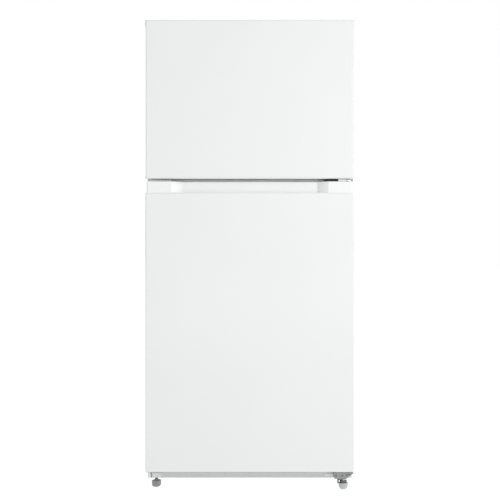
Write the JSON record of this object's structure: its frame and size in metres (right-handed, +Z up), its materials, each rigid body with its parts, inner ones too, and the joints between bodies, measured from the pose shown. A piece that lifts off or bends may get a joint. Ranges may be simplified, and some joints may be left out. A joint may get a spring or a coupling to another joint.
{
  "type": "top freezer refrigerator",
  "caption": "Free-standing white top freezer refrigerator with two right-hinged doors, pocket grips, shelves, crispers, door bins, levelling feet and rear rollers.",
  "frame": {"origin": "on the floor, under the middle of the whole object's bounding box", "axes": "+Z up, -Y out of the doors, +X to the hinge side, which is on the right seen from the front"},
  "size_m": [0.755, 0.78, 1.712],
  "materials": {
    "white_painted_steel": "satin",
    "galvanised_steel": "satin",
    "insulating_foam": "matt",
    "liner_plastic": "gloss",
    "cap_plastic": "satin",
    "grey_trim_plastic": "satin",
    "shelf_glass": "clear",
    "clear_plastic": "clear",
    "gasket_vinyl": "matt",
    "black_painted_steel": "satin",
    "dark_plastic": "matt",
    "grey_plastic": "matt",
    "fin_aluminium": "satin"
  },
  "bodies": {
    "cabinet": {"cabinet_wrapper": "white_painted_steel", "mullion_rail": "white_painted_steel", "base_rail": "galvanised_steel", "base_pan": "galvanised_steel", "back_panel": "galvanised_steel", "machine_cover": "galvanised_steel", "top_hinge": "galvanised_steel", "mid_hinge": "galvanised_steel", "bottom_hinge": "galvanised_steel", "cabinet_foam": "insulating_foam", "fridge_liner": "liner_plastic", "freezer_liner": "liner_plastic", "evaporator_cover": "liner_plastic", "air_duct": "liner_plastic", "control_housing": "liner_plastic", "top_hinge_cover": "cap_plastic", "freezer_shelf_trim": "grey_trim_plastic", "lower_shelf_trim": "grey_trim_plastic", "upper_shelf_trim": "grey_trim_plastic", "crisper_cover_frame": "grey_trim_plastic", "drain_pan": "grey_trim_plastic", "freezer_shelf_glass": "shelf_glass", "lower_shelf_glass": "shelf_glass", "upper_shelf_glass": "shelf_glass", "crisper_cover_glass": "shelf_glass", "compressor": "black_painted_steel", "condenser_coil": "black_painted_steel", "condenser_fan_bracket": "dark_plastic", "evaporator_fan_motor": "dark_plastic", "evaporator": "fin_aluminium"},
    "freezer_door": {"freezer_door_skin": "white_painted_steel", "freezer_door_foam": "insulating_foam", "freezer_door_liner": "liner_plastic", "freezer_door_top_cap": "cap_plastic", "freezer_door_bottom_cap": "cap_plastic", "freezer_door_gasket": "gasket_vinyl"},
    "fridge_door": {"fridge_door_skin": "white_painted_steel", "fridge_door_foam": "insulating_foam", "fridge_door_liner": "liner_plastic", "fridge_door_top_cap": "cap_plastic", "fridge_door_bottom_cap": "cap_plastic", "fridge_door_gasket": "gasket_vinyl"},
    "freezer_bin_lower": {"freezer_door_bin_lower": "clear_plastic"},
    "freezer_bin_upper": {"freezer_door_bin_upper": "clear_plastic"},
    "fridge_bin_lower": {"fridge_door_bin_lower": "clear_plastic"},
    "fridge_bin_middle": {"fridge_door_bin_middle": "clear_plastic"},
    "dairy_bin": {"dairy_bin": "clear_plastic"},
    "dairy_lid": {"dairy_lid": "clear_plastic"},
    "crisper_left": {"crisper_left": "clear_plastic"},
    "crisper_right": {"crisper_right": "clear_plastic"},
    "humidity_slider_left": {"humidity_slider_left": "grey_plastic"},
    "humidity_slider_right": {"humidity_slider_right": "grey_plastic"},
    "fridge_knob": {"fridge_temperature_knob": "grey_trim_plastic"},
    "freezer_knob": {"freezer_temperature_knob": "grey_trim_plastic"},
    "condenser_fan": {"condenser_fan": "dark_plastic"},
    "evaporator_fan": {"evaporator_fan": "grey_plastic"},
    "foot_left": {"front_foot_left": "grey_plastic"},
    "foot_right": {"front_foot_right": "grey_plastic"},
    "roller_left": {"rear_roller_left": "dark_plastic"},
    "roller_right": {"rear_roller_right": "dark_plastic"}
  },
  "joints": [
    {"name": "freezer_door_hinge", "type": "hinge", "parent": "cabinet", "child": "freezer_door", "pos_m": [0.3555, -0.357, 1.42], "axis": [0, 0, 1], "range_deg": [0, 125]},
    {"name": "fridge_door_hinge", "type": "hinge", "parent": "cabinet", "child": "fridge_door", "pos_m": [0.3555, -0.357, 0.6], "axis": [0, 0, 1], "range_deg": [0, 125]},
    {"name": "freezer_bin_lower_lift", "type": "slide", "parent": "freezer_door", "child": "freezer_bin_lower", "axis": [0, 0, 1], "range_m": [0, 0.02]},
    {"name": "freezer_bin_upper_lift", "type": "slide", "parent": "freezer_door", "child": "freezer_bin_upper", "axis": [0, 0, 1], "range_m": [0, 0.02]},
    {"name": "fridge_bin_lower_lift", "type": "slide", "parent": "fridge_door", "child": "fridge_bin_lower", "axis": [0, 0, 1], "range_m": [0, 0.02]},
    {"name": "fridge_bin_middle_lift", "type": "slide", "parent": "fridge_door", "child": "fridge_bin_middle", "axis": [0, 0, 1], "range_m": [0, 0.02]},
    {"name": "dairy_bin_lift", "type": "slide", "parent": "fridge_door", "child": "dairy_bin", "axis": [0, 0, 1], "range_m": [0, 0.02]},
    {"name": "dairy_lid_hinge", "type": "hinge", "parent": "dairy_bin", "child": "dairy_lid", "pos_m": [0, -0.316, 0.966], "axis": [1, 0, 0], "range_deg": [0, 85]},
    {"name": "crisper_left_slide", "type": "slide", "parent": "cabinet", "child": "crisper_left", "axis": [0, -1, 0], "range_m": [0, 0.025]},
    {"name": "crisper_right_slide", "type": "slide", "parent": "cabinet", "child": "crisper_right", "axis": [0, -1, 0], "range_m": [0, 0.025]},
    {"name": "humidity_left_slide", "type": "slide", "parent": "cabinet", "child": "humidity_slider_left", "axis": [1, 0, 0], "range_m": [-0.03, 0.03]},
    {"name": "humidity_right_slide", "type": "slide", "parent": "cabinet", "child": "humidity_slider_right", "axis": [1, 0, 0], "range_m": [-0.03, 0.03]},
    {"name": "fridge_knob_turn", "type": "hinge", "parent": "cabinet", "child": "fridge_knob", "pos_m": [0.08, -0.19, 1.062], "axis": [0, 1, 0], "range_deg": [-135, 135]},
    {"name": "freezer_knob_turn", "type": "hinge", "parent": "cabinet", "child": "freezer_knob", "pos_m": [-0.23, 0.246, 1.47], "axis": [0, 1, 0], "range_deg": [-135, 135]},
    {"name": "condenser_fan_spin", "type": "hinge", "parent": "cabinet", "child": "condenser_fan", "pos_m": [-0.012, 0.283, 0.125], "axis": [1, 0, 0], "continuous": true},
    {"name": "evaporator_fan_spin", "type": "hinge", "parent": "cabinet", "child": "evaporator_fan", "pos_m": [0, 0.272, 1.49], "axis": [0, 1, 0], "continuous": true},
    {"name": "foot_left_screw", "type": "hinge", "parent": "cabinet", "child": "foot_left", "pos_m": [-0.3455, -0.285, 0], "axis": [0, 0, 1], "continuous": true},
    {"name": "foot_right_screw", "type": "hinge", "parent": "cabinet", "child": "foot_right", "pos_m": [0.3425, -0.328, 0], "axis": [0, 0, 1], "continuous": true},
    {"name": "roller_left_spin", "type": "hinge", "parent": "cabinet", "child": "roller_left", "pos_m": [-0.33, 0.33, 0.02], "axis": [1, 0, 0], "continuous": true},
    {"name": "roller_right_spin", "type": "hinge", "parent": "cabinet", "child": "roller_right", "pos_m": [0.33, 0.33, 0.02], "axis": [1, 0, 0], "continuous": true}
  ]
}
